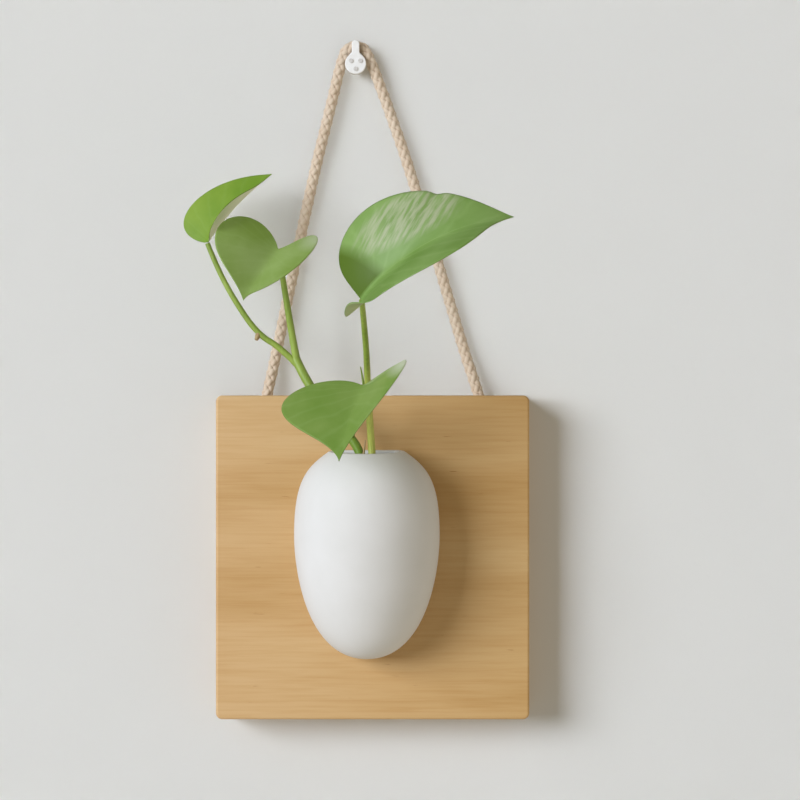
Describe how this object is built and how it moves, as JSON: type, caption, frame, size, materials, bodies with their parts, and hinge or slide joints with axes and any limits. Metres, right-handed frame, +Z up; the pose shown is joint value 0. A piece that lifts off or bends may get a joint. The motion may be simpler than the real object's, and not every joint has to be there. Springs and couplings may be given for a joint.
{
  "type": "hanging wall vase",
  "caption": "White half-egg ceramic vase on a square wooden board, hung by a braided cord from a nailed wall hook and holding leafy cuttings that lift out.",
  "frame": {"origin": "centre of the wall hook's round hub, on the wall", "axes": "+Z up, +Y into the wall, +X to the right as seen from the room"},
  "size_m": [0.1659, 0.1629, 0.3272],
  "materials": {
    "hook_plastic": "white moulded plastic, satin",
    "nail_steel": "dull steel",
    "rope_cotton": "natural braided cotton",
    "board_wood": "oiled light hardwood, grain across",
    "vase_ceramic": "matte white bisque",
    "screw_steel": "zinc plated",
    "stem_green": "living stem",
    "leaf_green": "waxy living leaf"
  },
  "bodies": {
    "hook": {"wall_hook": "hook_plastic", "hook_nails": "nail_steel"},
    "hanger": {"board": "board_wood", "rope": "rope_cotton", "rope_knot_left": "rope_cotton", "rope_knot_right": "rope_cotton", "vase_screw": "screw_steel"},
    "vase": {"vase": "vase_ceramic"},
    "cuttings": {"right_petiole": "stem_green", "right_leaf": "leaf_green", "left_stem": "stem_green", "heart_petiole": "stem_green", "heart_leaf": "leaf_green", "far_stem": "stem_green", "far_leaf": "leaf_green", "front_petiole": "stem_green", "front_leaf": "leaf_green"}
  },
  "joints": [
    {"name": "board_swing", "type": "hinge", "parent": "hook", "child": "hanger", "pos_m": [0, -0.004, 0.0023], "axis": [0, 1, 0], "range_deg": [-12, 12]},
    {"name": "vase_lift", "type": "slide", "parent": "hanger", "child": "vase", "axis": [0, 0, 1], "range_m": [0, 0.0085]},
    {"name": "cuttings_lift", "type": "slide", "parent": "vase", "child": "cuttings", "axis": [0, 0, 1], "range_m": [0, 0.07]}
  ]
}
